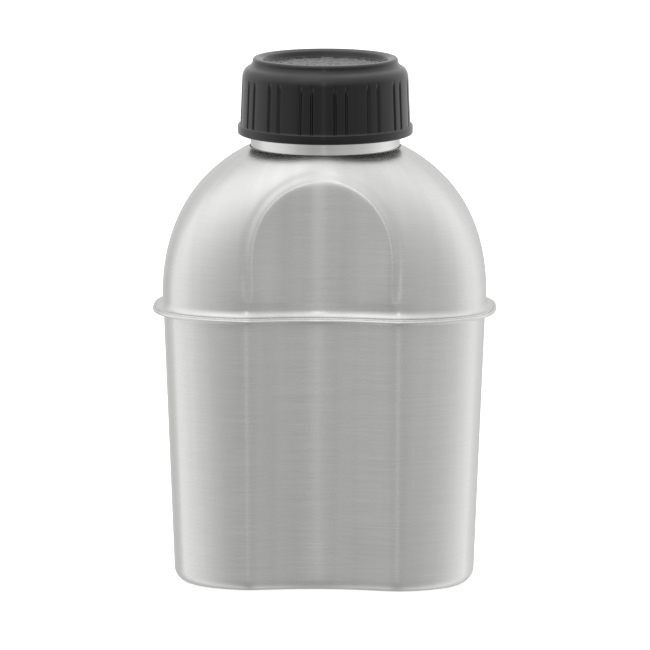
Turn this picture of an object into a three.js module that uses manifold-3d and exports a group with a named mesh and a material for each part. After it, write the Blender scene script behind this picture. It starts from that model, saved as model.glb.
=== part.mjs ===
// Kidney-shaped stainless steel canteen standing in its nesting cup.
// Units are millimetres, +Z up. The concave side of the kidney, which lies against the hip, faces -Y.
// Origin: middle of the footprint, on the plane that the cup stands on.
import * as THREE from "three";
import { mergeVertices } from "three/addons/utils/BufferGeometryUtils.js";
import Module from "manifold-3d";

const wasm = await Module();
wasm.setup();

// ---------------------------------------------------------------- driving dimensions
const SEGMENTS = 60; // points round a kidney outline
const SHEET = 0.6; // sheet steel of the cup and the canteen
const FIT = 0.4; // clearance between the canteen and the cup

// cup: half width and half depths of its outside, at two heights
const CUP_Z0 = 6;
const CUP_Z1 = 103;
const CUP_A = [60.4, 64.15]; // half width
const CUP_F = [34.8, 36.15]; // towards the front, before the hollow is pressed in
const CUP_B = [38.2, 42.0]; // towards the back
const FRONT_POWER = 2.9; // how square the front corners are
const BACK_POWER = 2.35; // the back is rounder
const HOLLOW_Y = [29.3, 30.85]; // the hollow's deepest line, in front of the widest line
const HOLLOW_R = 100; // radius of the hollow, which is part of a cylinder
const HOLLOW_SOFT = 1.3; // rounding where the hollow meets the front lobes

const CORNER_R = 5; // outside radius between the cup's wall and its bottom
const LIP_UNDER = 109.65; // underside of the cup's lip
const LIP_FILLET = 1.2;
const LIP_BEAD_R = 0.75;
const LIP_BEAD_OUT = 3.65; // bead's centre, measured outwards from the wall
const LIP_BEAD_Z = 110.68;

// canteen
const CANTEEN_BOTTOM = SHEET + FIT;
const JOINT_Z = 111.2; // weld plane between its two drawn shells, whose flanges rest on the cup's lip
const FLANGE_T = 0.5; // the lower shell's flange
const FLANGE_OUT = 2.5; // both flanges' edge, out from the cup's wall
const FLANGE_TOP_Z = 111.75; // upper face of the upper shell's flange
const FLANGE_R = 1.85; // fillet between that face and the dome's wall
const EQUATOR_Z = 114.5;
const DOME_A = 64.85; // half width at the equator
const DOME_H = 68.05;
const DOME_POWER = 2.3;
const DOME_TOP_H = 60.7; // equator to the mouth's edge
const DOME_F = 36.45;
const DOME_B = 42.6;
const DOME_F_POWER = 4.5;
const DOME_B_POWER = 3.2;
const DOME_SOFT = 0.7; // the hollow has crisper edges on the dome

// neck and mouth
const NECK_Y = 5.0; // the neck's axis, behind the widest line
const NECK_R = 29.85;
const NECK_HOLE_R = 30.15;
const MOUTH_R = 27.0;
const NECK_FOOT_Z = 173.0;
const BAND_TOP_Z = 180.3;
const THREAD_ROOT_R = 28.9;
const THREAD_CREST_R = 30.4;
const NECK_TOP_Z = 203.0;

// screw thread, right-handed
const PITCH = 4;
const THREAD_TURNS = 1.75;
const NECK_THREAD_Z = 187.6; // middle of the ridge where it starts
const CAP_THREAD_Z = 185.6;

// cap
const CAP_Z0 = 180.0; // lower edge
const CAP_BAND_TOP = 183.8;
const CAP_BAND_R = 35.05;
const CAP_SKIRT_R = [34.0, 33.2];
const CAP_BORE_R = 31.1;
const CAP_THREAD_R = 29.5;
const CAP_CEILING_Z = 205.8;
const CAP_FLOOR_Z = 207.9; // bottom of the dish in its top
const CAP_TOP_Z = 210.6;
const GROOVE_PERIOD = 24; // degrees: two grooves, then a wide land
const GROOVE_SPREAD = 8.1; // degrees between the two grooves of a pair
const GROOVE_FIRST = 12.6; // degrees from -Y towards +X
const GROOVE_R = 0.9;
const GROOVE_AXIS_R = 33.95;
const GROOVE_TOP = 202.6;
const GASKET = { z: [NECK_TOP_Z + 0.1, CAP_CEILING_Z - 0.1], r: [25.6, 30.5] };

// folding wire handles on the back of the cup
const WIRE_R = 1.8;
const HANDLE_Z = [31, 87];
const HANDLE_OFF = 4.0; // wire's centre line, out from the wall
const HANDLE_PIVOT_X = 11;
const HANDLE_REACH_X = 49.5;
const HANDLE_BEND_R = 7;
const KNUCKLE_IN = WIRE_R + 0.3;
const KNUCKLE_OUT = 3.3;
const KNUCKLE_Z = [
  [39, 52],
  [66, 79],
];
const BRACKET_T = 1.1;
const BRACKET_HALF_W = 11;
const BRACKET_Z = [36, 82];
const HANDLE_MID_Z = 59;
const BACK_SLOPE = (CUP_B[1] - CUP_B[0]) / (CUP_Z1 - CUP_Z0); // the back wall leans out by this much per unit of height

// The model is built round the kidney's widest line and then moved, so that the origin is in the middle of the footprint.
const SHIFT_Y = -4.62;

// ---------------------------------------------------------------- outlines
const lerp = (p, t) => p[0] + (p[1] - p[0]) * t;
const softMax = (a, b, k) => (a + b + Math.sqrt((a - b) ** 2 + k * k)) / 2;

// Angles round the outline, closer together at the corners and along the hollow's edges.
const ANGLES = (() => {
  const density = (t) => {
    const near = (c, w) =>
      Math.exp(-(((((t - c + 540) % 360) - 180) / w) ** 2));
    return (
      0.75 +
      1.2 * (near(210, 14) + near(330, 14)) +
      0.9 * (near(235, 9) + near(305, 9)) +
      0.7 * (near(30, 22) + near(150, 22))
    );
  };
  const fine = 3600,
    sum = [0];
  for (let i = 0; i < fine; i++)
    sum.push(sum[i] + density(((i + 0.5) / fine) * 360));
  const out = [];
  for (let i = 0, k = 0; i < SEGMENTS; i++) {
    const want = (sum[fine] * i) / SEGMENTS;
    while (sum[k + 1] < want) k++;
    out.push(
      ((k + (want - sum[k]) / (sum[k + 1] - sum[k])) / fine) * 2 * Math.PI,
    );
  }
  return out;
})();

// A kidney outline as {x, y} points, moved outwards by `out`.
function kidney(o, out = 0) {
  const power = (p, q, t) => p + (q - p) * (0.5 + 0.5 * Math.sin(t));
  const at = (t) => {
    const c = Math.cos(t),
      s = Math.sin(t);
    const b = s < 0 ? o.front : o.back;
    const w = Math.abs(s) * Math.abs(s);
    const n = s < 0 ? o.fp : o.bp + (o.fp - o.bp) * (1 - w) ** 6;
    const r =
      1 / (Math.abs(c / o.a) ** n + Math.abs(s / b) ** n) ** (1 / n);
    const x = r * c,
      y = o.cy + r * s;
    return [x, softMax(y, -o.hollow - (x * x) / (2 * HOLLOW_R), o.soft)];
  };
  return ANGLES.map((t) => {
    const [x, y] = at(t);
    if (!out) return [x, y];
    const [x0, y0] = at(t - 1e-3),
      [x1, y1] = at(t + 1e-3);
    const l = Math.hypot(x1 - x0, y1 - y0);
    return [x + ((y1 - y0) / l) * out, y - ((x1 - x0) / l) * out];
  });
}

// The cup's outside at height z.
function cupOutline(z) {
  const t = (z - CUP_Z0) / (CUP_Z1 - CUP_Z0);
  return {
    a: lerp(CUP_A, t),
    front: lerp(CUP_F, t),
    back: lerp(CUP_B, t),
    fp: FRONT_POWER,
    bp: BACK_POWER,
    cy: 0,
    hollow: lerp(HOLLOW_Y, t),
    soft: HOLLOW_SOFT,
  };
}

// The dome's outside at s, from 0 at the equator to 1 at the mouth's edge.
function domeOutline(s) {
  const h = s * DOME_TOP_H;
  const a = DOME_A * Math.sqrt(1 - (h / DOME_H) ** DOME_POWER);
  const end = DOME_A * Math.sqrt(1 - (DOME_TOP_H / DOME_H) ** DOME_POWER);
  const k = s ** 4;
  const cy = NECK_Y * s ** 2;
  return {
    a: a + (NECK_HOLE_R - end) * s ** 6,
    front:
      NECK_HOLE_R - NECK_Y + (DOME_F - NECK_HOLE_R + NECK_Y) * (1 - s ** DOME_F_POWER) + cy,
    back:
      NECK_HOLE_R + NECK_Y + (DOME_B - NECK_HOLE_R - NECK_Y) * (1 - s ** DOME_B_POWER) - cy,
    fp: FRONT_POWER + (2 - FRONT_POWER) * k,
    bp: BACK_POWER + (2 - BACK_POWER) * k,
    cy,
    hollow: HOLLOW_Y[1] + 0.35,
    soft: DOME_SOFT + (HOLLOW_SOFT - DOME_SOFT) * (1 - s) ** 3,
    z: EQUATOR_Z + h,
  };
}

// ---------------------------------------------------------------- solids
// Turns every face round if the closed surface faces inwards.
function outward(g) {
  const p = g.attributes.position,
    index = g.index.array;
  const [a, b, c] = [new THREE.Vector3(), new THREE.Vector3(), new THREE.Vector3()];
  let volume = 0;
  for (let i = 0; i < index.length; i += 3) {
    a.fromBufferAttribute(p, index[i]);
    b.fromBufferAttribute(p, index[i + 1]);
    c.fromBufferAttribute(p, index[i + 2]);
    volume += a.dot(b.cross(c));
  }
  if (volume < 0)
    for (let i = 0; i < index.length; i += 3)
      [index[i + 1], index[i + 2]] = [index[i + 2], index[i + 1]];
  return g;
}
function manifoldOf(geometry) {
  const g = (geometry.index ? geometry.toNonIndexed() : geometry).clone();
  for (const name of Object.keys(g.attributes))
    if (name !== "position") g.deleteAttribute(name);
  const merged = mergeVertices(g, 1e-4);
  return new wasm.Manifold(
    new wasm.Mesh({
      numProp: 3,
      vertProperties: new Float32Array(merged.attributes.position.array),
      triVerts: new Uint32Array(merged.index.array),
    }),
  );
}
function geometryOf(solid) {
  const m = solid.getMesh();
  const position = new Float32Array(m.numVert * 3);
  for (let i = 0; i < m.numVert; i++)
    for (let k = 0; k < 3; k++)
      position[i * 3 + k] = m.vertProperties[i * m.numProp + k];
  const g = new THREE.BufferGeometry();
  g.setAttribute("position", new THREE.BufferAttribute(position, 3));
  g.setIndex(new THREE.BufferAttribute(new Uint32Array(m.triVerts), 1));
  g.computeVertexNormals();
  return g;
}

// A closed skin over rings of equal length. "hoop" joins the last ring to the first; otherwise both ends are capped round their middle.
function skin(rings, hoop = false) {
  const n = rings[0].length,
    position = [],
    index = [];
  rings.forEach((r) => r.forEach((p) => position.push(...p)));
  const last = hoop ? rings.length : rings.length - 1;
  for (let j = 0; j < last; j++)
    for (let i = 0; i < n; i++) {
      const a = j * n + i,
        b = j * n + ((i + 1) % n),
        c = ((j + 1) % rings.length) * n + i,
        d = ((j + 1) % rings.length) * n + ((i + 1) % n);
      index.push(a, b, d, a, d, c);
    }
  if (!hoop)
    for (const [j, flip] of [
      [0, true],
      [rings.length - 1, false],
    ]) {
      const middle = position.length / 3;
      const sum = [0, 0, 0];
      rings[j].forEach((p) => p.forEach((v, k) => (sum[k] += v / n)));
      position.push(...sum);
      for (let i = 0; i < n; i++) {
        const a = j * n + i,
          b = j * n + ((i + 1) % n);
        flip ? index.push(b, a, middle) : index.push(a, b, middle);
      }
    }
  const g = new THREE.BufferGeometry();
  g.setAttribute("position", new THREE.Float32BufferAttribute(position, 3));
  g.setIndex(index);
  outward(g);
  g.computeVertexNormals();
  return g;
}
const ring = (outline, z) => outline.map(([x, y]) => [x, y, z]);

// An arc in (out, z), from angle p to angle q in degrees.
function arc(out, z, r, p, q, steps) {
  return Array.from({ length: steps + 1 }, (_, i) => {
    const t = ((p + ((q - p) * i) / steps) * Math.PI) / 180;
    return [out + r * Math.cos(t), z + r * Math.sin(t)];
  });
}

// ---------------------------------------------------------------- cup
function cupBody() {
  const inner = CORNER_R - SHEET;
  const under = LIP_UNDER,
    top = LIP_UNDER + SHEET;
  const profile = [
    ...arc(-CORNER_R, CORNER_R, CORNER_R, -90, 0, 3),
    ...arc(LIP_FILLET, under - LIP_FILLET, LIP_FILLET, 180, 90, 2),
    ...arc(LIP_BEAD_OUT, LIP_BEAD_Z, LIP_BEAD_R, -90, 150, 5),
    [LIP_BEAD_OUT - LIP_BEAD_R - 0.05, top],
    ...arc(LIP_FILLET, under - LIP_FILLET, LIP_FILLET + SHEET, 90, 180, 2),
    ...arc(-CORNER_R, CORNER_R, inner, 0, -90, 3),
  ];
  return skin(profile.map(([out, z]) => ring(kidney(cupOutline(z), out), z)));
}

// ---------------------------------------------------------------- canteen
function lowerShell() {
  const gap = -SHEET - FIT; // its outside, in from the cup's outside
  const r = CORNER_R - SHEET;
  const z0 = CANTEEN_BOTTOM;
  // the fillet under the flange runs round the same centre as the one inside the cup's lip
  const cz = LIP_UNDER - LIP_FILLET;
  const r1 = LIP_FILLET - gap;
  const top = cz + r1 + FLANGE_T;
  const r2 = r1 + SHEET;
  const end = 180 - (Math.asin((top - cz) / r2) * 180) / Math.PI;
  const profile = [
    ...arc(gap - r, z0 + r, r, -90, 0, 3),
    ...arc(LIP_FILLET, cz, r1, 180, 90, 3),
    [FLANGE_OUT, cz + r1],
    [FLANGE_OUT, top],
    ...arc(LIP_FILLET, cz, r2, end, 180, 2),
    ...arc(gap - r, z0 + r, r - SHEET, 0, -90, 3),
  ];
  return skin(profile.map(([out, z]) => ring(kidney(cupOutline(z), out), z)));
}

function upperShell() {
  const levels = [0.16, 0.32, 0.47, 0.6, 0.71, 0.8, 0.88, 0.95, 1];
  const base = domeOutline(0);
  // flange edge, then the fillet up to the wall, both measured from the dome's wall
  const edge = FLANGE_OUT - 0.3;
  const outer = [
    ring(kidney(base, edge), JOINT_Z),
    ring(kidney(base, edge), FLANGE_TOP_Z - 0.15),
    ring(kidney(base, edge - 0.15), FLANGE_TOP_Z),
    ...arc(FLANGE_R, FLANGE_TOP_Z + FLANGE_R, FLANGE_R, 270, 180, 3).map(([out, z]) => ring(kidney(base, out), z)),
    ring(kidney(base), EQUATOR_Z),
  ];
  const flange = 6; // the rings above belong to the flange, where the inside goes straight down
  for (const s of levels) {
    const o = domeOutline(s);
    outer.push(ring(kidney(o), o.z));
  }
  // The inside is the outside moved in by the sheet, square to the surface.
  const n = SEGMENTS;
  const inner = outer.slice(flange).map((r, k) =>
    r.map((p, i) => {
      const j = k + flange;
      const left = r[(i + n - 1) % n],
        right = r[(i + 1) % n];
      const below = outer[Math.max(j - 1, 0)][i],
        above = outer[Math.min(j + 1, outer.length - 1)][i];
      const u = new THREE.Vector3(right[0] - left[0], right[1] - left[1], right[2] - left[2]);
      const v = new THREE.Vector3(above[0] - below[0], above[1] - below[1], above[2] - below[2]);
      const normal = u.cross(v).normalize();
      if (k === 0 || j === outer.length - 1) normal.setZ(0).normalize(); // upright there
      return [p[0] - normal.x * SHEET, p[1] - normal.y * SHEET, p[2] - normal.z * SHEET];
    }),
  );
  // At the mouth the shell turns up into a short collar that the neck is welded to.
  const circle = (r, z) =>
    ANGLES.map((t) => [r * Math.cos(t), NECK_Y + r * Math.sin(t), z]);
  const zTop = EQUATOR_Z + DOME_TOP_H;
  inner[inner.length - 1] = circle(NECK_HOLE_R, zTop - 0.9);
  inner.unshift(inner[0].map(([x, y]) => [x, y, JOINT_Z]));
  return skin([...outer, ...inner.reverse()], true);
}

// A turned piece round the neck's axis from [radius, z] points that close on themselves.
function turned(points, segments) {
  const g = new THREE.LatheGeometry(
    [...points, points[0]].map(([r, z]) => new THREE.Vector2(r, z)),
    segments,
  );
  g.rotateX(Math.PI / 2);
  g.translate(0, NECK_Y, 0);
  return manifoldOf(outward(g));
}

// A helical ridge: a trapezium from radius r0 to radius r1, widths w0 and w1, tapering to nothing at both ends.
function ridge(r0, r1, w0, w1, zStart, turns, steps, tip) {
  const rings = [];
  const buried = Math.sign(r0 - r1) * 0.5;
  for (let i = 0; i <= steps; i++) {
    const t = i / steps,
      a = t * turns * 2 * Math.PI,
      z = zStart + t * turns * PITCH;
    const grown = Math.min(1, (Math.min(t, 1 - t) * turns * 360) / 30);
    const r = r0 + (r1 - r0) * (tip + (1 - tip) * grown);
    const foot = r0 + buried;
    const p = (radius, dz) => [
      radius * Math.cos(a),
      NECK_Y + radius * Math.sin(a),
      z + dz,
    ];
    const k = 0.35 + 0.65 * grown;
    const quad = [
      p(foot, (-w0 / 2) * k),
      p(r, (-w1 / 2) * k),
      p(r, (w1 / 2) * k),
      p(foot, (w0 / 2) * k),
    ];
    rings.push(r1 > r0 ? quad : quad.reverse());
  }
  return manifoldOf(skin(rings.reverse()));
}

function neckCollar() {
  const ring = turned(
    [
      [MOUTH_R, NECK_FOOT_Z],
      [NECK_R, NECK_FOOT_Z],
      [NECK_R, BAND_TOP_Z],
      [THREAD_ROOT_R, BAND_TOP_Z + 0.9],
      [THREAD_ROOT_R, NECK_TOP_Z - 0.8],
      [THREAD_ROOT_R - 0.35, NECK_TOP_Z - 0.2],
      [THREAD_ROOT_R - 0.9, NECK_TOP_Z],
      [MOUTH_R + 0.5, NECK_TOP_Z],
      [MOUTH_R, NECK_TOP_Z - 0.5],
    ],
    44,
  );
  const thread = ridge(
    THREAD_ROOT_R, THREAD_CREST_R, 1.9, 0.9, NECK_THREAD_Z, THREAD_TURNS, 42, 0.1,
  );
  return geometryOf(ring.add(thread));
}

// ---------------------------------------------------------------- cap
function screwCap() {
  const skirt = (z) =>
    lerp(CAP_SKIRT_R, (z - CAP_BAND_TOP) / (203 - CAP_BAND_TOP));
  const ringFoot = CAP_TOP_Z - 3.6;
  const body = turned(
    [
      [CAP_BORE_R, CAP_Z0 + 0.4],
      [CAP_BORE_R + 0.4, CAP_Z0],
      [CAP_BAND_R - 0.7, CAP_Z0],
      [CAP_BAND_R, CAP_Z0 + 0.7],
      [CAP_BAND_R, CAP_BAND_TOP - 0.6],
      [CAP_BAND_R - 0.6, CAP_BAND_TOP],
      [skirt(CAP_BAND_TOP), CAP_BAND_TOP],
      [skirt(202.9), 202.9],
      [32.75, 204.9],
      [31.6, 206.2],
      [30.2, 206.85],
      [29.3, ringFoot],
      [29.05, CAP_TOP_Z - 2.0],
      [28.3, CAP_TOP_Z - 0.7],
      [26.9, CAP_TOP_Z],
      [25.7, CAP_TOP_Z - 0.3],
      [24.8, CAP_TOP_Z - 1.4],
      [24.1, CAP_FLOOR_Z],
      [0, CAP_FLOOR_Z],
      [0, CAP_CEILING_Z],
      [CAP_BORE_R, CAP_CEILING_Z],
    ],
    60,
  );
  const grooves = [];
  for (let k = 0; k < 360 / GROOVE_PERIOD; k++)
    for (const side of [-0.5, 0.5]) {
      const a =
        ((-90 + GROOVE_FIRST + k * GROOVE_PERIOD + side * GROOVE_SPREAD) *
          Math.PI) /
        180;
      const groove = new THREE.CylinderGeometry(
        GROOVE_R, GROOVE_R, GROOVE_TOP - CAP_BAND_TOP, 6,
      );
      groove.rotateX(Math.PI / 2);
      const r = GROOVE_AXIS_R;
      groove.translate(
        r * Math.cos(a),
        NECK_Y + r * Math.sin(a),
        (GROOVE_TOP + CAP_BAND_TOP) / 2 + 0.02,
      );
      grooves.push(manifoldOf(groove));
    }
  const thread = ridge(
    CAP_BORE_R, CAP_THREAD_R, 1.9, 0.9, CAP_THREAD_Z, THREAD_TURNS, 42, 0.1,
  );
  let solid = body.add(thread);
  for (const g of grooves) solid = solid.subtract(g);
  return geometryOf(solid);
}

function capGasket() {
  const [z0, z1] = GASKET.z,
    [r0, r1] = GASKET.r;
  return geometryOf(
    turned(
      [
        [r0, z0 + 0.3],
        [r0 + 0.3, z0],
        [r1 - 0.3, z0],
        [r1, z0 + 0.3],
        [r1, z1 - 0.3],
        [r1 - 0.3, z1],
        [r0 + 0.3, z1],
        [r0, z1 - 0.3],
      ],
      36,
    ),
  );
}

// ---------------------------------------------------------------- folding handles
// The handles and their bracket are shaped on the wall at their middle height and then leaned with the wall.
const lean = (geometry) => {
  const p = geometry.attributes.position;
  for (let i = 0; i < p.count; i++)
    p.setY(i, p.getY(i) + BACK_SLOPE * (p.getZ(i) - HANDLE_MID_Z));
  geometry.computeVertexNormals();
  return geometry;
};
// The wall's back as y at x.
const BACK_WALL = (() => {
  const fine = [];
  const o = cupOutline(HANDLE_MID_Z);
  for (let i = 0; i <= 400; i++) {
    const x = (i / 400) * 60;
    const y = o.back * (1 - (x / o.a) ** BACK_POWER) ** (1 / BACK_POWER);
    fine.push(new THREE.Vector2(x, y));
  }
  return fine;
})();
function backPath(out, x0, x1, step) {
  // points along the moved-out wall between two x values of the wall itself
  const pts = [];
  for (let i = 1; i < BACK_WALL.length - 1; i++) {
    const t = BACK_WALL[i + 1].clone().sub(BACK_WALL[i - 1]).normalize();
    pts.push(
      new THREE.Vector2(BACK_WALL[i].x - t.y * out, BACK_WALL[i].y + t.x * out),
    );
  }
  const chosen = pts.filter((p) => p.x >= x0 && p.x <= x1);
  const out2 = [chosen[0]];
  for (const p of chosen)
    if (p.distanceTo(out2[out2.length - 1]) >= step) out2.push(p);
  return out2;
}

// The loop's centre line, for the handle on the +X side.
function handlePath() {
  const along = backPath(HANDLE_OFF, HANDLE_PIVOT_X, HANDLE_REACH_X, 0.5);
  const arm = along.map((p) => [p.x, p.y]);
  const lengths = [0];
  for (let i = 1; i < arm.length; i++)
    lengths.push(
      lengths[i - 1] + Math.hypot(arm[i][0] - arm[i - 1][0], arm[i][1] - arm[i - 1][1]),
    );
  const total = lengths[lengths.length - 1];
  const at = (s) => {
    const w = Math.min(Math.max(s, 0), total);
    let i = 1;
    while (i < lengths.length - 1 && lengths[i] < w) i++;
    const t = (w - lengths[i - 1]) / (lengths[i] - lengths[i - 1]);
    return [lerp([arm[i - 1][0], arm[i][0]], t), lerp([arm[i - 1][1], arm[i][1]], t)];
  };
  // a rounded rectangle in (s, z), rolled onto the wall
  const [z0, z1] = HANDLE_Z;
  const r = HANDLE_BEND_R;
  const flat = [];
  const corner = (cs, cz, p, q) => {
    for (let i = 0; i <= 4; i++) {
      const t = ((p + ((q - p) * i) / 4) * Math.PI) / 180;
      flat.push([cs + r * Math.cos(t), cz + r * Math.sin(t)]);
    }
  };
  const line = (p, q, n) => {
    for (let i = 1; i < n; i++)
      flat.push([lerp([p[0], q[0]], i / n), lerp([p[1], q[1]], i / n)]);
  };
  corner(r, z0 + r, 180, 270);
  line([r, z0], [total - r, z0], 5);
  corner(total - r, z0 + r, 270, 360);
  line([total, z0 + r], [total, z1 - r], 2);
  corner(total - r, z1 - r, 0, 90);
  line([total - r, z1], [r, z1], 5);
  corner(r, z1 - r, 90, 180);
  line([0, z1 - r], [0, z0 + r], 2);
  return flat.map(([s, z]) => [...at(s), z]);
}

function handle(side) {
  const path = handlePath().map(([x, y, z]) => new THREE.Vector3(side * x, y, z));
  const n = path.length,
    sides = 8,
    rings = [];
  for (let i = 0; i < n; i++) {
    const t = path[(i + 1) % n].clone().sub(path[(i + n - 1) % n]).normalize();
    // the loop lies on the wall, so the wall's outward direction is square to the wire all the way
    const x = path[i].x;
    const near = backPath(HANDLE_OFF, 5, 58, 0.5);
    let k = 1;
    while (k < near.length - 2 && near[k].x < Math.abs(x)) k++;
    const e = near[k + 1].clone().sub(near[k - 1]).normalize();
    const outward = new THREE.Vector3(-side * e.y, e.x, 0);
    const u = outward.sub(t.clone().multiplyScalar(outward.dot(t))).normalize();
    const v = t.clone().cross(u).normalize();
    rings.push(
      Array.from({ length: sides }, (_, j) => {
        const a = ((j + 0.5) / sides) * 2 * Math.PI;
        const p = path[i]
          .clone()
          .addScaledVector(u, WIRE_R * Math.cos(a))
          .addScaledVector(v, WIRE_R * Math.sin(a));
        return [p.x, p.y, p.z];
      }),
    );
  }
  return lean(skin(rings, true));
}

const PIVOT = (() => {
  const p = backPath(HANDLE_OFF, HANDLE_PIVOT_X, HANDLE_REACH_X, 0.5)[0];
  return { x: p.x, y: p.y };
})();

function handleBracket() {
  // a plate that follows the wall, with rolled knuckles at both edges
  const o = cupOutline(HANDLE_MID_Z);
  const wallY = (x) =>
    o.back * (1 - (Math.abs(x) / o.a) ** BACK_POWER) ** (1 / BACK_POWER);
  const shape = new THREE.Shape();
  const xs = [];
  for (let i = -6; i <= 6; i++) xs.push((i / 6) * BRACKET_HALF_W);
  xs.forEach((x, i) =>
    i ? shape.lineTo(x, wallY(x) + 0.15 + BRACKET_T) : shape.moveTo(x, wallY(x) + 0.15 + BRACKET_T),
  );
  [...xs].reverse().forEach((x) => shape.lineTo(x, wallY(x) + 0.15));
  const plate = new THREE.ExtrudeGeometry(shape, {
    depth: BRACKET_Z[1] - BRACKET_Z[0],
    bevelEnabled: false,
    steps: 1,
  });
  plate.translate(0, 0, BRACKET_Z[0]);
  let solid = manifoldOf(plate);
  for (const side of [-1, 1])
    for (const [z0, z1] of KNUCKLE_Z) {
      const outer = new THREE.CylinderGeometry(KNUCKLE_OUT, KNUCKLE_OUT, z1 - z0, 16);
      outer.rotateX(Math.PI / 2).translate(side * PIVOT.x, PIVOT.y, (z0 + z1) / 2);
      solid = solid.add(manifoldOf(outer));
    }
  // the wire's seat is bored through the knuckles
  for (const side of [-1, 1]) {
    const bore = new THREE.CylinderGeometry(KNUCKLE_IN, KNUCKLE_IN, 80, 16);
    bore.rotateX(Math.PI / 2).translate(side * PIVOT.x, PIVOT.y, 59);
    solid = solid.subtract(manifoldOf(bore));
  }
  return lean(geometryOf(solid));
}

// ---------------------------------------------------------------- assembly
const steel = () =>
  new THREE.MeshStandardMaterial({ color: 0xb9b9b8, roughness: 0.34, metalness: 1 });
const steelWire = new THREE.MeshStandardMaterial({ color: 0xb2b2b2, roughness: 0.28, metalness: 1 });
const plastic = new THREE.MeshStandardMaterial({ color: 0x1b1b1c, roughness: 0.38, metalness: 0 });
const silicone = new THREE.MeshStandardMaterial({ color: 0xd8d6d0, roughness: 0.55, metalness: 0 });

const canteenSet = new THREE.Group();
const built = new THREE.Group();
built.position.y = SHIFT_Y;
canteenSet.add(built);
const add = (parent, name, geometry, material) => {
  const mesh = new THREE.Mesh(geometry, material);
  mesh.name = name;
  parent.add(mesh);
};

const cup = new THREE.Group();
add(cup, "cup_body", cupBody(), steel());
add(cup, "handle_bracket", handleBracket(), steel());
add(cup, "handle_left", handle(-1), steelWire);
add(cup, "handle_right", handle(1), steelWire);

const canteen = new THREE.Group();
add(canteen, "canteen_lower_shell", lowerShell(), steel());
add(canteen, "canteen_upper_shell", upperShell(), steel());
add(canteen, "neck_collar", neckCollar(), steel());

const closure = new THREE.Group();
add(closure, "cap_gasket", capGasket(), silicone);
add(closure, "screw_cap", screwCap(), plastic);

built.add(cup, canteen, closure);

export default canteenSet;
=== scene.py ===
"""Steel canteen in its nesting cup: the fine surfaces, materials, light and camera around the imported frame."""

import math

import bpy
import numpy as np
from mathutils import Matrix, Vector


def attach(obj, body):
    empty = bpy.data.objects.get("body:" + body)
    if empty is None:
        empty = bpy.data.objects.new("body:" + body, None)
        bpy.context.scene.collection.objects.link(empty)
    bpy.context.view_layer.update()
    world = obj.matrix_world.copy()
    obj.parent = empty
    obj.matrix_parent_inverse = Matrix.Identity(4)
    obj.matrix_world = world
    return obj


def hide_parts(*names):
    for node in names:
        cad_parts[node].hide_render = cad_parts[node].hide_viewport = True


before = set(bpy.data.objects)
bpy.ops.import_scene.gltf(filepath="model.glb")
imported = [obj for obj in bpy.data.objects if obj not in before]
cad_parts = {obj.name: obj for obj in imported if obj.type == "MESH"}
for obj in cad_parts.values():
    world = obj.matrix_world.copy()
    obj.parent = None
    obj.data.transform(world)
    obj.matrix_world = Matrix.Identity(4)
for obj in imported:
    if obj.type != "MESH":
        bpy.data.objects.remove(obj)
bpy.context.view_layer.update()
MM = 0.001

# ------------------------------------------------------------------ the CAD's driving dimensions, in millimetres
SHEET, FIT = 0.6, 0.4
CUP_Z0, CUP_Z1 = 6.0, 103.0
CUP_A, CUP_F, CUP_B = (60.4, 64.15), (34.8, 36.15), (38.2, 42.0)
FRONT_POWER, BACK_POWER = 2.9, 2.35
HOLLOW_Y, HOLLOW_R, HOLLOW_SOFT = (29.3, 30.85), 100.0, 2.0
CORNER_R = 5.0
LIP_UNDER, LIP_FILLET = 109.65, 1.2
LIP_BEAD_R, LIP_BEAD_OUT, LIP_BEAD_Z = 0.75, 3.63, 110.56
CANTEEN_BOTTOM, JOINT_Z = SHEET + FIT, 111.2
FLANGE_T, FLANGE_OUT, FLANGE_TOP_Z, FLANGE_R = 0.5, 2.5, 111.6, 1.85
EQUATOR_Z = 114.5
DOME_A, DOME_H, DOME_POWER, DOME_TOP_H = 64.85, 68.05, 2.3, 60.7
DOME_F, DOME_B, DOME_F_POWER, DOME_B_POWER = 36.45, 42.6, 4.5, 3.2
DOME_SOFT = 0.7
EDGE_SOFT, COVE_OUT, COVE_H, DRAW_IN, DRAW_AT, DRAW_W = 0.72, 2.1, 2.9, 0.24, 1.2, 0.8  # the pressed edge round the hollow, and how high the cove above the flange runs
NECK_Y, NECK_R, NECK_HOLE_R, MOUTH_R = 5.0, 29.85, 30.15, 27.0
NECK_FOOT_Z, BAND_TOP_Z = 173.0, 180.3
THREAD_ROOT_R, THREAD_CREST_R, NECK_TOP_Z = 28.9, 30.4, 203.0
PITCH, THREAD_TURNS, NECK_THREAD_Z, CAP_THREAD_Z = 4.0, 1.75, 187.6, 185.6
CAP_Z0, CAP_BAND_TOP, CAP_BAND_R = 180.0, 183.8, 35.05
CAP_SKIRT_R, CAP_BORE_R, CAP_THREAD_R = (34.0, 33.2), 31.1, 29.5
CAP_CEILING_Z, CAP_FLOOR_Z, CAP_TOP_Z = 205.8, 207.9, 210.6
GROOVE_PERIOD, GROOVE_SPREAD, GROOVE_FIRST, GROOVE_R, GROOVE_TOP = 24.0, 8.1, 12.6, 0.9, 202.6
GROOVE_AXIS_R = 33.95
WIRE_R, HANDLE_Z, HANDLE_OFF, HANDLE_PIVOT_X, HANDLE_REACH_X, HANDLE_BEND_R = 1.8, (31.0, 87.0), 4.0, 11.0, 49.5, 7.0
KNUCKLE_IN, KNUCKLE_OUT = WIRE_R + 0.3, 3.3
KNUCKLE_Z = ((39.0, 52.0), (66.0, 79.0))
BRACKET_T, BRACKET_HALF_W, BRACKET_Z, HANDLE_MID_Z = 1.1, 11.0, (36.0, 82.0), 59.0
BACK_SLOPE = (CUP_B[1] - CUP_B[0]) / (CUP_Z1 - CUP_Z0)
SHIFT_Y = -4.62

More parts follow.
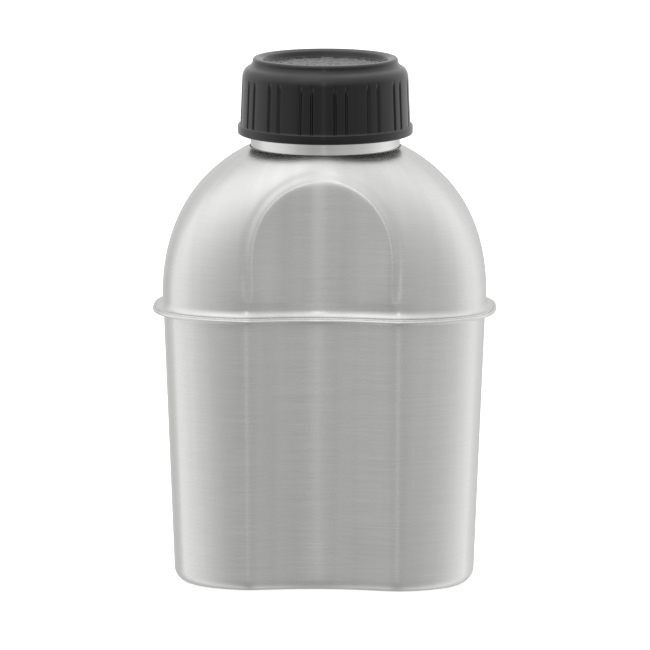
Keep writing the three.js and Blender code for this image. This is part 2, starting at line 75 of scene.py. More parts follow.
# ------------------------------------------------------------------ outlines


def lerp(p, t):
    return p[0] + (p[1] - p[0]) * t


def spaced_angles(count):
    """Angles round the outline, closer together at the corners and the hollow's edges."""
    fine = 7200
    t = (np.arange(fine) + 0.5) / fine * 360

    def near(c, w):
        return np.exp(-((((t - c + 540) % 360) - 180) / w) ** 2)

    d = 0.75 + 1.1 * (near(210, 14) + near(330, 14)) + 1.3 * (near(235, 8) + near(305, 8)) + 0.6 * (near(30, 22) + near(150, 22))
    total = np.concatenate([[0], np.cumsum(d)])
    want = total[-1] * np.arange(count) / count
    return np.interp(want, total, np.arange(fine + 1) / fine) * 2 * math.pi


ANGLES = spaced_angles(360)


def kidney(o, out=0.0, t=None):
    t = ANGLES if t is None else t

    def at(t):
        c, s = np.cos(t), np.sin(t)
        b = np.where(s < 0, o["front"], o["back"])
        n = np.where(s < 0, o["fp"], o["bp"] + (o["fp"] - o["bp"]) * (1 - s * s) ** 6)
        r = 1 / (np.abs(c / o["a"]) ** n + np.abs(s / b) ** n) ** (1 / n)
        x, y = r * c, o["cy"] + r * s
        h = -o["hollow"] - x * x / (2 * o.get("bend", HOLLOW_R))
        # pressing the hollow draws the dome in a little just outside its edge
        draw = o.get("draw", 0.0) * np.exp(-(((y - h - DRAW_AT) / DRAW_W) ** 2))
        return x, (y + h + np.sqrt((y - h) ** 2 + o["soft"] ** 2)) / 2 + draw

    x, y = at(t)
    if out:
        x0, y0 = at(t - 1e-3)
        x1, y1 = at(t + 1e-3)
        length = np.hypot(x1 - x0, y1 - y0)
        x, y = x + (y1 - y0) / length * out, y - (x1 - x0) / length * out
    return np.stack([x, y], -1)


def cup_outline(z):
    t = (z - CUP_Z0) / (CUP_Z1 - CUP_Z0)
    return dict(a=lerp(CUP_A, t), front=lerp(CUP_F, t), back=lerp(CUP_B, t), fp=FRONT_POWER, bp=BACK_POWER, cy=0.0, hollow=lerp(HOLLOW_Y, t), soft=HOLLOW_SOFT)


def dome_outline(s):
    h = s * DOME_TOP_H
    a = DOME_A * math.sqrt(1 - (h / DOME_H) ** DOME_POWER)
    end = DOME_A * math.sqrt(1 - (DOME_TOP_H / DOME_H) ** DOME_POWER)
    k, cy = s**4, NECK_Y * s**2
    low, high = min(1.0, s / 0.06), min(1.0, max(0.0, (s - 0.06) / 0.44))
    return dict(
        draw=DRAW_IN * min(1.0, s / 0.14) ** 2 * (3 - 2 * min(1.0, s / 0.14)),
        bend=HOLLOW_R - 12.5 * low * low * (3 - 2 * low) * (1 - high * high * (3 - 2 * high)),
        a=a + (NECK_HOLE_R - end) * s**6,
        front=NECK_HOLE_R - NECK_Y + (DOME_F - NECK_HOLE_R + NECK_Y) * (1 - s**DOME_F_POWER) + cy,
        back=NECK_HOLE_R + NECK_Y + (DOME_B - NECK_HOLE_R - NECK_Y) * (1 - s**DOME_B_POWER) - cy,
        fp=FRONT_POWER + (2 - FRONT_POWER) * k,
        bp=BACK_POWER + (2 - BACK_POWER) * k,
        cy=cy,
        hollow=HOLLOW_Y[1] + 0.35,
        soft=EDGE_SOFT + (HOLLOW_SOFT - EDGE_SOFT) * (1 - s) ** 5,
        z=EQUATOR_Z + h,
    )


def ring(xy, z):
    return np.column_stack([xy, np.full(len(xy), float(z))])


def arc(out, z, r, p, q, steps):
    t = np.radians(np.linspace(p, q, steps + 1))
    return [(out + r * math.cos(a), z + r * math.sin(a)) for a in t]


def rounded(points, steps=5, closed=False):
    """A polyline from (x, y, fillet radius) corners."""
    n, out = len(points), []
    for i, (x, y, r) in enumerate(points):
        if r <= 0 or (not closed and i in (0, n - 1)):
            out.append((x, y))
            continue
        p, a, b = np.array([x, y]), np.array(points[i - 1][:2]), np.array(points[(i + 1) % n][:2])
        u, v = a - p, b - p
        lu, lv = np.linalg.norm(u), np.linalg.norm(v)
        u, v = u / lu, v / lv
        half = math.acos(max(-1, min(1, float(u @ v)))) / 2
        d = min(r / math.tan(half), 0.49 * lu, 0.49 * lv)
        r2 = d * math.tan(half)
        centre = p + (u + v) / np.linalg.norm(u + v) * (r2 / math.sin(half))
        s, e = p + u * d - centre, p + v * d - centre
        a0 = math.atan2(s[1], s[0])
        da = (math.atan2(e[1], e[0]) - a0 + math.pi) % (2 * math.pi) - math.pi
        k = max(2, int(round(steps * abs(da) / (math.pi / 2))) + 1)
        for j in range(k + 1):
            t = a0 + da * j / k
            out.append((centre[0] + r2 * math.cos(t), centre[1] + r2 * math.sin(t)))
    return out


def densify(points, longest):
    out = [points[0]]
    for p, q in zip(points, points[1:]):
        d = math.hypot(q[0] - p[0], q[1] - p[1])
        k = max(1, int(math.ceil(d / longest)))
        for j in range(1, k + 1):
            out.append((p[0] + (q[0] - p[0]) * j / k, p[1] + (q[1] - p[1]) * j / k))
    return out


# ------------------------------------------------------------------ meshes


def grid(name, rows, hoop=False, cap_start=False, cap_end=False, material=None, shift=True):
    """A mesh over rows (m, n, 3), each closed round its n points, in millimetres. hoop joins the last row to the first.
    The UV map is in metres: u round the row, v along the profile."""
    rows = np.asarray(rows, float)
    m, n, _ = rows.shape
    verts = rows.reshape(-1, 3).copy()
    extra = []
    if cap_start:
        extra.append(rows[0].mean(0))
    if cap_end:
        extra.append(rows[-1].mean(0))
    if extra:
        verts = np.vstack([verts, extra])
    if shift:
        verts[:, 1] += SHIFT_Y
    verts *= MM
    last = m if hoop else m - 1
    j, i = np.meshgrid(np.arange(last), np.arange(n), indexing="ij")
    a = j * n + i
    b = j * n + (i + 1) % n
    c = ((j + 1) % m) * n + i
    d = ((j + 1) % m) * n + (i + 1) % n
    quads = np.stack([a, b, d, c], -1).reshape(-1, 4)
    # lengths for the UV map, in metres
    wide = int(np.argmax([np.linalg.norm(np.diff(r, axis=0), axis=1).sum() for r in rows]))
    r = np.vstack([rows[wide], rows[wide][:1]])
    u = np.concatenate([[0], np.cumsum(np.linalg.norm(np.diff(r, axis=0), axis=1))]) * MM
    step = np.linalg.norm(np.diff(np.vstack([rows, rows[:1]]), axis=0), axis=2).max(1)
    v = np.concatenate([[0], np.cumsum(step)]) * MM
    uv = np.stack([np.stack([u[i], v[j]], -1), np.stack([u[i + 1], v[j]], -1), np.stack([u[i + 1], v[j + 1]], -1), np.stack([u[i], v[j + 1]], -1)], 2).reshape(-1, 4, 2)
    faces = quads.tolist()
    uvs = uv.reshape(-1, 2)
    at = m * n
    if cap_start:
        for k in range(n):
            faces.append([(k + 1) % n, k, at])
        w = verts[:, :2]
        uvs = np.vstack([uvs] + [np.array([w[(k + 1) % n], w[k], w[at]]) for k in range(n)])
        at += 1
    if cap_end:
        base = (m - 1) * n
        for k in range(n):
            faces.append([base + k, base + (k + 1) % n, at])
        w = verts[:, :2]
        uvs = np.vstack([uvs] + [np.array([w[base + k], w[base + (k + 1) % n], w[at]]) for k in range(n)])
    me = bpy.data.meshes.new(name)
    me.from_pydata(verts.tolist(), [], faces)
    layer = me.uv_layers.new(name="UVMap")
    layer.data.foreach_set("uv", uvs.astype(np.float32).ravel())
    me.polygons.foreach_set("use_smooth", [True] * len(me.polygons))
    me.update()
    ob = bpy.data.objects.new(name, me)
    bpy.context.scene.collection.objects.link(ob)
    # faces point outwards
    co = verts
    tri = np.array([[f[0], f[k], f[k + 1]] for f in faces[:: max(1, len(faces) // 20000)] for k in range(1, len(f) - 1)])
    volume = np.einsum("ij,ij->i", co[tri[:, 0]], np.cross(co[tri[:, 1]], co[tri[:, 2]])).sum()
    if volume < 0:
        me.flip_normals()
    if material is not None:
        me.materials.append(material)
    return ob


def turned_grid(name, profile, angles, radius=None, **kw):
    """Rows of a turned piece round the neck's axis. radius(r, z, angles, k) may change a row's radius along it."""
    rows = []
    for k, (r, z) in enumerate(profile):
        rr = np.full(len(angles), float(r)) if radius is None else radius(r, z, angles, k)
        zz = z if np.ndim(z) else np.full(len(angles), float(z))
        rows.append(np.column_stack([rr * np.cos(angles), NECK_Y + rr * np.sin(angles), zz]))
    return grid(name, rows, **kw)


def swept(name, path, frames, radius, sides, material, closed=True, taper=None):
    """A round wire along path (k, 3) with frames [(u, v)] square to it."""
    rows = []
    t = np.linspace(0, 2 * math.pi, sides, endpoint=False)
    for k, (p, (u, v)) in enumerate(zip(path, frames)):
        r = radius * (1 if taper is None else taper[k])
        rows.append(p + r * (np.cos(t)[:, None] * u + np.sin(t)[:, None] * v))
    return grid(name, rows, hoop=closed, cap_start=not closed, cap_end=not closed, material=material)


# ------------------------------------------------------------------ materials


def grey(v):
    return (v, v, v)


def node_material(name):
    mat = bpy.data.materials.new(name)
    mat.use_nodes = True
    nt = mat.node_tree
    bsdf = nt.nodes["Principled BSDF"]
    return mat, nt, bsdf


def add(nt, kind, **values):
    node = nt.nodes.new(kind)
    for key, value in values.items():
        if hasattr(node, key):
            setattr(node, key, value)
        else:
            node.inputs[key.replace("_", " ")].default_value = value
    return node


def math_node(nt, op, a, b=None, clamp=False):
    n = nt.nodes.new("ShaderNodeMath")
    n.operation, n.use_clamp = op, clamp
    for k, x in enumerate((a, b)):
        if x is None:
            continue
        if isinstance(x, (int, float)):
            n.inputs[k].default_value = x
        else:
            nt.links.new(x, n.inputs[k])
    return n.outputs[0]


def grain(nt, uv, su, sv, detail=2.0, rough=0.55):
    """Noise stretched along u: the lines that brushing leaves."""
    m = nt.nodes.new("ShaderNodeMapping")
    m.inputs["Scale"].default_value = (su, sv, 1.0)
    nt.links.new(uv, m.inputs["Vector"])
    n = nt.nodes.new("ShaderNodeTexNoise")
    n.noise_dimensions = "2D"
    n.inputs["Scale"].default_value = 1.0
    n.inputs["Detail"].default_value = detail
    n.inputs["Roughness"].default_value = rough
    nt.links.new(m.outputs[0], n.inputs["Vector"])
    return n.outputs["Fac"]


def ramp(nt, fac, stops):
    r = nt.nodes.new("ShaderNodeValToRGB")
    els = r.color_ramp.elements
    while len(els) < len(stops):
        els.new(0.5)
    for e, (p, c) in zip(els, stops):
        e.position = p
        e.color = (*c, 1) if len(c) == 3 else c
    nt.links.new(fac, r.inputs[0])
    return r.outputs[0]


def mapped(nt, fac, lo, hi, a=0.3, b=0.7):
    r = nt.nodes.new("ShaderNodeMapRange")
    r.inputs["From Min"].default_value, r.inputs["From Max"].default_value = a, b
    r.inputs["To Min"].default_value, r.inputs["To Max"].default_value = lo, hi
    nt.links.new(fac, r.inputs["Value"])
    return r.outputs[0]


def brushed(name, tone, rough, aniso, su=38.0, sv=2600.0, contrast=0.028, bump=0.022, tint=False):
    mat, nt, bsdf = node_material(name)
    uvn = nt.nodes.new("ShaderNodeUVMap")
    uvn.uv_map = "UVMap"
    uv = uvn.outputs[0]
    coarse = grain(nt, uv, su, sv)
    fine = grain(nt, uv, su * 4.2, sv * 2.7, 3.0)
    slow = grain(nt, uv, 14.0, 240.0, 2.0)
    mix = math_node(nt, "ADD", math_node(nt, "MULTIPLY", coarse, 0.55), math_node(nt, "MULTIPLY", fine, 0.45))
    k = math_node(nt, "ADD", math_node(nt, "MULTIPLY", mix, 0.85), math_node(nt, "MULTIPLY", slow, 0.15))
    lo = tuple(c * (1 - contrast) for c in tone)
    hi = tuple(min(1.0, c * (1 + contrast)) for c in tone)
    colour = ramp(nt, k, [(0.36, lo), (0.64, hi)])
    upright = grain(nt, uv, 85.0, 3.0, 2.0)  # soft upright bands, where the belt pressed harder
    band = nt.nodes.new("ShaderNodeMix")
    band.data_type, band.blend_type = "RGBA", "MULTIPLY"
    band.inputs[0].default_value = 1.0
    nt.links.new(colour, band.inputs[6])
    nt.links.new(ramp(nt, upright, [(0.30, grey(0.935)), (0.68, grey(1.0))]), band.inputs[7])
    colour = band.outputs[2]
    if tint:
        at = nt.nodes.new("ShaderNodeAttribute")
        at.attribute_name = "heat"
        warm = ramp(nt, at.outputs["Fac"], [(0.0, (1.0, 1.0, 1.0)), (0.35, (0.93, 0.80, 0.58)), (0.62, (0.66, 0.50, 0.40)), (0.82, (0.48, 0.50, 0.62)), (1.0, (0.72, 0.72, 0.74))])
        mul = nt.nodes.new("ShaderNodeMix")
        mul.data_type, mul.blend_type = "RGBA", "MULTIPLY"
        mul.inputs[0].default_value = 1.0
        nt.links.new(colour, mul.inputs[6])
        nt.links.new(warm, mul.inputs[7])
        colour = mul.outputs[2]
    nt.links.new(colour, bsdf.inputs["Base Color"])
    nt.links.new(mapped(nt, k, rough - 0.045, rough + 0.05), bsdf.inputs["Roughness"])
    bsdf.inputs["Metallic"].default_value = 1.0
    bsdf.inputs["Anisotropic"].default_value = aniso
    bsdf.inputs["Anisotropic Rotation"].default_value = 0.25
    if aniso:
        tan = nt.nodes.new("ShaderNodeTangent")
        tan.direction_type, tan.uv_map = "UV_MAP", "UVMap"
        nt.links.new(tan.outputs[0], bsdf.inputs["Tangent"])
    bm = nt.nodes.new("ShaderNodeBump")
    bm.inputs["Strength"].default_value = bump
    bm.inputs["Distance"].default_value = 0.00006
    nt.links.new(mix, bm.inputs["Height"])
    nt.links.new(bm.outputs[0], bsdf.inputs["Normal"])
    return mat


def plastic(name, dish=False):
    mat, nt, bsdf = node_material(name)
    tc = nt.nodes.new("ShaderNodeTexCoord")
    speck = nt.nodes.new("ShaderNodeTexNoise")
    speck.inputs["Scale"].default_value, speck.inputs["Detail"].default_value = 2600.0, 2.0
    nt.links.new(tc.outputs["Object"], speck.inputs["Vector"])
    slow = nt.nodes.new("ShaderNodeTexNoise")
    slow.inputs["Scale"].default_value, slow.inputs["Detail"].default_value = 70.0, 4.0
    nt.links.new(tc.outputs["Object"], slow.inputs["Vector"])
    part = nt.nodes.new("ShaderNodeSeparateXYZ")
    nt.links.new(tc.outputs["Normal"], part.inputs[0])
    # Painted highlight: the base colour lightens from near black on upright faces to dark grey on faces whose
    # object-space normal points up, in place of the light crescent on the cap's shoulder and top; slow noise makes this
    # lightening uneven.
    upward_painted_light = math_node(nt, "MULTIPLY", mapped(nt, part.outputs[2], 0.0, 1.0, 0.15, 0.9), mapped(nt, slow.outputs["Fac"], 0.75, 1.0))
    colour = ramp(nt, upward_painted_light, [(0.0, (0.0010, 0.0010, 0.0011)), (0.55, (0.020, 0.020, 0.0205)), (1.0, (0.048, 0.048, 0.049))])
    nt.links.new(colour, bsdf.inputs["Base Color"])
    k = math_node(nt, "ADD", math_node(nt, "MULTIPLY", speck.outputs["Fac"], 0.5), math_node(nt, "MULTIPLY", slow.outputs["Fac"], 0.5))
    nt.links.new(mapped(nt, k, 0.12, 0.19), bsdf.inputs["Roughness"])
    bsdf.inputs["Specular IOR Level"].default_value = 0.38
    bm = nt.nodes.new("ShaderNodeBump")
    bm.inputs["Strength"].default_value = 0.035
    bm.inputs["Distance"].default_value = 0.00008
    nt.links.new(speck.outputs["Fac"], bm.inputs["Height"])
    nt.links.new(bm.outputs[0], bsdf.inputs["Normal"])
    return mat


def silicone(name):
    mat, nt, bsdf = node_material(name)
    tc = nt.nodes.new("ShaderNodeTexCoord")
    n = nt.nodes.new("ShaderNodeTexNoise")
    n.inputs["Scale"].default_value, n.inputs["Detail"].default_value = 900.0, 3.0
    nt.links.new(tc.outputs["Object"], n.inputs["Vector"])
    nt.links.new(ramp(nt, n.outputs["Fac"], [(0.3, (0.62, 0.61, 0.57)), (0.7, (0.72, 0.71, 0.67))]), bsdf.inputs["Base Color"])
    nt.links.new(mapped(nt, n.outputs["Fac"], 0.45, 0.6), bsdf.inputs["Roughness"])
    bsdf.inputs["Subsurface Weight"].default_value = 0.15
    bsdf.inputs["Subsurface Radius"].default_value = (0.002, 0.0018, 0.0015)
    bm = nt.nodes.new("ShaderNodeBump")
    bm.inputs["Strength"].default_value = 0.1
    bm.inputs["Distance"].default_value = 0.0001
    nt.links.new(n.outputs["Fac"], bm.inputs["Height"])
    nt.links.new(bm.outputs[0], bsdf.inputs["Normal"])
    return mat


STEEL_CUP = brushed("steel_cup", (0.618, 0.615, 0.606), 0.26, 0.85)
STEEL_CANTEEN = brushed("steel_canteen", (0.612, 0.610, 0.603), 0.25, 0.85)
STEEL_NECK = brushed("steel_neck", (0.62, 0.617, 0.61), 0.22, 0.5, su=8.0, sv=2600.0, contrast=0.05)
STEEL_WIRE = brushed("steel_wire", (0.60, 0.598, 0.59), 0.24, 0.0, su=900.0, sv=60.0, contrast=0.05, bump=0.06)
STEEL_BRACKET = brushed("steel_bracket", (0.60, 0.597, 0.585), 0.32, 0.4, su=60.0, sv=1500.0, tint=True)
CAP_BLACK = plastic("cap_black")
GASKET_WHITE = silicone("gasket_silicone")

# ------------------------------------------------------------------ cup
pieces = {}


def cup_rows():
    under = LIP_UNDER
    inner = CORNER_R - SHEET
    profile = []
    profile += arc(-CORNER_R, CORNER_R, CORNER_R, -90, 0, 10)
    profile += [(0, z) for z in np.linspace(CORNER_R, under - LIP_FILLET, 40)[1:-1]]
    profile += arc(LIP_FILLET, under - LIP_FILLET, LIP_FILLET, 180, 90, 8)
    profile += [(LIP_FILLET + 0.8, under)]
    profile += arc(LIP_BEAD_OUT, LIP_BEAD_Z, LIP_BEAD_R, -90, 158, 18)
    profile += [(LIP_BEAD_OUT - LIP_BEAD_R - 0.02, LIP_BEAD_Z - 0.1), (LIP_BEAD_OUT - LIP_BEAD_R - 0.08, under + SHEET + 0.1), (LIP_BEAD_OUT - LIP_BEAD_R - 0.2, under + SHEET)]
    profile += arc(LIP_FILLET, under - LIP_FILLET, LIP_FILLET + SHEET, 90, 180, 8)
    profile += [(-SHEET, z) for z in np.linspace(under - LIP_FILLET, CORNER_R, 40)[1:-1]]
    profile += arc(-CORNER_R, CORNER_R, inner, 0, -90, 10)
    rows = [ring(kidney(cup_outline(z), out), z) for out, z in profile]
    first, last = rows[0], rows[-1]

    def shrunk(r, k):
        c = r.mean(0)
        return c + (r - c) * np.array([k, k, 1.0])

    return [shrunk(first, k) for k in (0.05, 0.35, 0.7, 0.92)] + rows + [shrunk(last, k) for k in (0.92, 0.7, 0.35, 0.05)]


cup = grid("cup_drawn_shell", cup_rows(), cap_start=True, cap_end=True, material=STEEL_CUP)
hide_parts("cup_body")
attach(cup, "cup")

# ------------------------------------------------------------------ canteen


def shrunk(row, k):
    c = row.mean(0)
    return c + (row - c) * np.array([k, k, 1.0])


def lower_rows():
    gap, r, z0 = -SHEET - FIT, CORNER_R - SHEET, CANTEEN_BOTTOM
    cz = LIP_UNDER - LIP_FILLET
    r1 = LIP_FILLET - gap
    top = cz + r1 + FLANGE_T
    r2 = r1 + SHEET
    end = 180 - math.degrees(math.asin((top - 0.05 - cz) / r2))
    profile = arc(gap - r, z0 + r, r, -90, 0, 10)
    profile += [(gap, z) for z in np.linspace(z0 + r, cz, 40)[1:-1]]
    profile += arc(LIP_FILLET, cz, r1, 180, 90, 10)
    profile += arc(FLANGE_OUT + 0.2 - FLANGE_T / 2, cz + r1 + FLANGE_T / 2, FLANGE_T / 2, -90, 90, 6)
    profile += [(LIP_FILLET, top)]
    profile += arc(LIP_FILLET, cz, r2, end, 180, 10)
    profile += [(gap - SHEET, z) for z in np.linspace(cz, z0 + r, 40)[1:-1]]
    profile += arc(gap - r, z0 + r, r - SHEET, 0, -90, 10)
    rows = [ring(kidney(cup_outline(z), out), z) for out, z in profile]
    return [shrunk(rows[0], k) for k in (0.05, 0.35, 0.7, 0.92)] + rows + [shrunk(rows[-1], k) for k in (0.92, 0.7, 0.35, 0.05)]


lower = grid("canteen_lower_half", lower_rows(), cap_start=True, cap_end=True, material=STEEL_CANTEEN)
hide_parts("canteen_lower_shell")
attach(lower, "canteen")


def smooth(t):
    return t * t * (3 - 2 * t)


def upper_rows():
    base, edge = dome_outline(0.0), FLANGE_OUT + 0.22
    flange = [(edge - 0.35, JOINT_Z), (edge - 0.08, JOINT_Z)]
    flange += arc(edge - 0.36, FLANGE_TOP_Z - 0.36, 0.36, -8, 90, 7)
    cove = np.radians(np.linspace(262, 187, 14))
    flange += [(COVE_OUT * (1 + math.cos(a)), FLANGE_TOP_Z + COVE_H * (1 + math.sin(a))) for a in cove]
    rows = [ring(kidney(base, out), z) for out, z in flange]
    first = len(rows)
    rows.append(ring(kidney(base), EQUATOR_Z))
    for s in 1 - (1 - np.linspace(0, 1, 110)[1:]) ** 1.25:
        o = dome_outline(float(s))
        rows.append(ring(kidney(o), o["z"]))
    outer = np.array(rows)
    # the inside is the outside moved in by the sheet, square to the surface
    top = outer[first:]
    u = np.roll(top, -1, 1) - np.roll(top, 1, 1)
    v = np.empty_like(top)
    v[1:-1] = top[2:] - top[:-2]
    v[0], v[-1] = top[1] - top[0], top[-1] - top[-2]
    normal = np.cross(u, v)
    normal /= np.linalg.norm(normal, axis=2, keepdims=True)
    normal[0, :, 2] = 0
    normal[0] /= np.linalg.norm(normal[0], axis=1, keepdims=True)
    inner = top - normal * SHEET
    c = np.column_stack([NECK_HOLE_R * np.cos(ANGLES), NECK_Y + NECK_HOLE_R * np.sin(ANGLES)])
    z_top = EQUATOR_Z + DOME_TOP_H
    low = [ring(inner[0][:, :2], z) for z in (JOINT_Z, JOINT_Z + 0.8, JOINT_Z + 1.8)]
    inner = np.concatenate([low, inner[:-3], [ring(c, z_top - 0.75)], [ring(c, z_top - 0.12)]])
    return np.concatenate([outer, inner[::-1]])


upper = grid("canteen_domed_half", upper_rows(), hoop=True, material=STEEL_CANTEEN)
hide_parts("canteen_upper_shell")
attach(upper, "canteen")


def seam_weld():
    """The fused, lightly rippled edge that joins the two flanges."""
    base = kidney(dome_outline(0.0), FLANGE_OUT + 0.06)
    prev, nxt = np.roll(base, 1, 0), np.roll(base, -1, 0)
    tangent = (nxt - prev) / np.linalg.norm(nxt - prev, axis=1, keepdims=True)
    out = np.column_stack([tangent[:, 1], -tangent[:, 0]])
    lengths = np.cumsum(np.linalg.norm(nxt - base, axis=1))
    rows = []
    for a in np.linspace(0, 2 * math.pi, 10, endpoint=False):
        ripple = 1 + 0.14 * np.sin(lengths * 2.9) + 0.08 * np.sin(lengths * 0.83)
        rows.append(np.column_stack([base + out * (0.2 * math.cos(a) * ripple)[:, None], JOINT_Z - 0.03 + 0.2 * math.sin(a) * ripple]))
    return rows


seam = grid("canteen_seam_weld", seam_weld(), hoop=True, material=STEEL_CANTEEN)
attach(seam, "canteen")

# ------------------------------------------------------------------ threads, neck and cap


def ridge_height(angles, z, z_start, root_w, crest_w, height):
    """How far a helical ridge stands out at (angle, z): a trapezium that fades in and out over 30 degrees."""
    a = np.mod(angles, 2 * math.pi) / (2 * math.pi)
    best = np.zeros(len(angles))
    for k in range(int(math.ceil(THREAD_TURNS)) + 1):
        turn = a + k
        inside = turn <= THREAD_TURNS
        grown = np.clip(np.minimum(turn, THREAD_TURNS - turn) * 12, 0, 1)
        w = 0.35 + 0.65 * grown
        dz = np.abs(z - (z_start + turn * PITCH)) / np.maximum(w, 1e-3)
        h = np.clip((root_w / 2 - dz) / (root_w / 2 - crest_w / 2), 0, 1)
        h = h * h * (3 - 2 * h) * 0.35 + h * 0.65
        best = np.maximum(best, np.where(inside, h * height * grown, 0))
    return best


EVEN = np.linspace(0, 2 * math.pi, 240, endpoint=False)


def neck_profile():
    outline = rounded(
        [
            (MOUTH_R, NECK_FOOT_Z, 0.3),
            (NECK_R, NECK_FOOT_Z, 0.15),
            (NECK_R, BAND_TOP_Z, 0.5),
            (THREAD_ROOT_R, BAND_TOP_Z + 0.9, 0.5),
            (THREAD_ROOT_R, NECK_TOP_Z, 0.9),
            (MOUTH_R, NECK_TOP_Z, 0.5),
        ],
        steps=6,
        closed=True,
    )
    return densify(outline + outline[:1], 0.32)[:-1]


def neck_radius(r, z, angles, k):
    rr = np.full(len(angles), float(r))
    if r >= THREAD_ROOT_R - 1e-6 and z > BAND_TOP_Z + 0.8:
        rr = np.maximum(rr, THREAD_ROOT_R + ridge_height(angles, z, NECK_THREAD_Z, 1.9, 0.9, THREAD_CREST_R - THREAD_ROOT_R))
    return rr


neck = turned_grid("neck_ring", neck_profile(), EVEN, neck_radius, hoop=True, material=STEEL_NECK)
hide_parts("neck_collar")
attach(neck, "canteen")


def cap_angles():
    out = []
    edge = math.degrees(GROOVE_R / GROOVE_AXIS_R)
    for k in range(int(360 / GROOVE_PERIOD)):
        c = -90 + GROOVE_FIRST + k * GROOVE_PERIOD
        for side in (-0.5, 0.5):
            g = c + side * GROOVE_SPREAD
            out += [g - edge - 0.07, g - edge + 0.02] + [g + edge * x for x in (-0.9, -0.7, -0.42, -0.15, 0.15, 0.42, 0.7, 0.9)] + [g + edge - 0.02, g + edge + 0.07]
        out += [c - 1.0, c + 1.0]
        half = GROOVE_SPREAD / 2 + edge
        rest = GROOVE_PERIOD - 2 * half
        out += [c + half + rest * x for x in (0.16, 0.33, 0.5, 0.67, 0.84)]
    return np.radians(np.sort(np.mod(np.array(out), 360)))


CAP_ANGLES = cap_angles()
GROOVES = [math.radians(-90 + GROOVE_FIRST + k * GROOVE_PERIOD + side * GROOVE_SPREAD) for k in range(int(360 / GROOVE_PERIOD)) for side in (-0.5, 0.5)]


def skirt_r(z):
    return lerp(CAP_SKIRT_R, (z - CAP_BAND_TOP) / (203 - CAP_BAND_TOP))


def cap_outside():
    return rounded(
        [
            (CAP_BORE_R, CAP_Z0, 0.45),
            (CAP_BAND_R, CAP_Z0, 0.75),
            (CAP_BAND_R, CAP_BAND_TOP, 0.65),
            (skirt_r(CAP_BAND_TOP) + 0.02, CAP_BAND_TOP, 0.22),
            (skirt_r(202.3), 202.3, 0),
            *[(skirt_r(202.4) - 3.4 + 3.4 * math.cos(t), 202.4 + 4.65 * math.sin(t), 0) for t in np.radians(np.linspace(2, 68, 12))],
            *[(31.85 + 2.8 * math.cos(t), 209.5 + 2.8 * math.sin(t), 0) for t in np.radians(np.linspace(241, 180, 9))],
            *[(27.95 + 1.1 * math.cos(t), CAP_TOP_Z - 1.1 + 1.1 * math.sin(t), 0) for t in np.radians(np.linspace(12, 78, 6))],
            (26.9, CAP_TOP_Z, 1.0),
            (24.9, CAP_TOP_Z - 0.75, 1.1),
            (24.1, CAP_FLOOR_Z, 0.5),
            (0.0, CAP_FLOOR_Z, 0),
        ],
        steps=6,
    )


def value_noise(x, y, cell, seed):
    """Smooth noise on a grid of cells, the same every run."""
    gx, gy = x / cell, y / cell
    ix, iy = np.floor(gx).astype(int), np.floor(gy).astype(int)
    fx, fy = gx - ix, gy - iy
    fx, fy = fx * fx * (3 - 2 * fx), fy * fy * (3 - 2 * fy)

    def h(a, b):
        k = (a * 374761393 + b * 668265263 + seed * 2147483647) & 0xFFFFFFFF
        k = ((k ^ (k >> 13)) * 1274126177) & 0xFFFFFFFF
        return ((k ^ (k >> 16)) & 0xFFFF) / 65535.0

    return (h(ix, iy) * (1 - fx) + h(ix + 1, iy) * fx) * (1 - fy) + (h(ix, iy + 1) * (1 - fx) + h(ix + 1, iy + 1) * fx) * fy


def cap_rows():
    ang = CAP_ANGLES
    outside = cap_outside()
    head = []
    for (r0, z0), (r1, z1) in zip(outside, outside[1:]):
        long = abs(z1 - z0) > 4 or (r0 > 20 and r1 < 1)
        head.append((r0, z0))
        if abs(z1 - z0) > 4:  # the skirt
            head += [(r0 + (r1 - r0) * t, z0 + (z1 - z0) * t) for t in np.linspace(0, 1, 22)[1:-1]]
    rows = []
    for r, z in head:
        rr = np.full(len(ang), float(r))
        if CAP_BAND_TOP - 0.01 <= z <= GROOVE_TOP + 0.6 and r <= skirt_r(CAP_BAND_TOP) + 0.6:
            fade = min(1.0, max(0.0, (GROOVE_TOP + 0.6 - z) / 4.0)) ** 0.7
            for g in GROOVES:
                d = (ang - g + math.pi) % (2 * math.pi) - math.pi
                across = np.clip(d * GROOVE_AXIS_R / 0.95, -1, 1)
                rr = rr - 0.78 * fade * (0.5 + 0.5 * np.cos(math.pi * across))
        rows.append(np.column_stack([rr * np.cos(ang), NECK_Y + rr * np.sin(ang), np.full(len(ang), z)]))
    # the dish's floor, with a fine pebbled relief
    floor = []
    for r in np.concatenate([np.linspace(23.4, 2.0, 54), [1.2, 0.5]]):
        x, y = r * np.cos(ang), r * np.sin(ang)
        fade = min(1.0, (24.1 - r) / 1.2)
        h = value_noise(x, y, 1.0, 3) * 0.4 + value_noise(x, y, 0.5, 11) * 0.6
        floor.append(np.column_stack([x, NECK_Y + y, CAP_FLOOR_Z + 0.02 + 0.32 * fade * h * h]))
    rows += floor
    return rows


def cap_inside():
    """From the middle of the ceiling to the lower edge: ceiling, bore and thread."""
    ang = CAP_ANGLES
    corners = rounded(
        [(0.6, CAP_CEILING_Z, 0), (CAP_BORE_R, CAP_CEILING_Z, 0.5), (CAP_BORE_R, CAP_Z0 + 1.2, 0)], steps=4
    )
    path = densify(corners, 0.42)
    path = [(r, z) for r, z in path if z < CAP_CEILING_Z - 0.001 or r > CAP_BORE_R - 1.2 or r < 0.7]
    rows = []
    for r, z in path:
        rr = np.full(len(ang), float(r))
        if r > CAP_BORE_R - 1e-6:
            rr = np.minimum(rr, CAP_BORE_R - ridge_height(ang, z, CAP_THREAD_Z, 1.9, 0.9, CAP_BORE_R - CAP_THREAD_R))
        rows.append(np.column_stack([rr * np.cos(ang), NECK_Y + rr * np.sin(ang), np.full(len(ang), z)]))
    return rows


def cap_mesh():
    out_rows, in_rows = cap_rows(), cap_inside()
    # one closed skin: inside from the ceiling's middle down to the lower edge, then outside up to the dish's middle
    return in_rows + out_rows


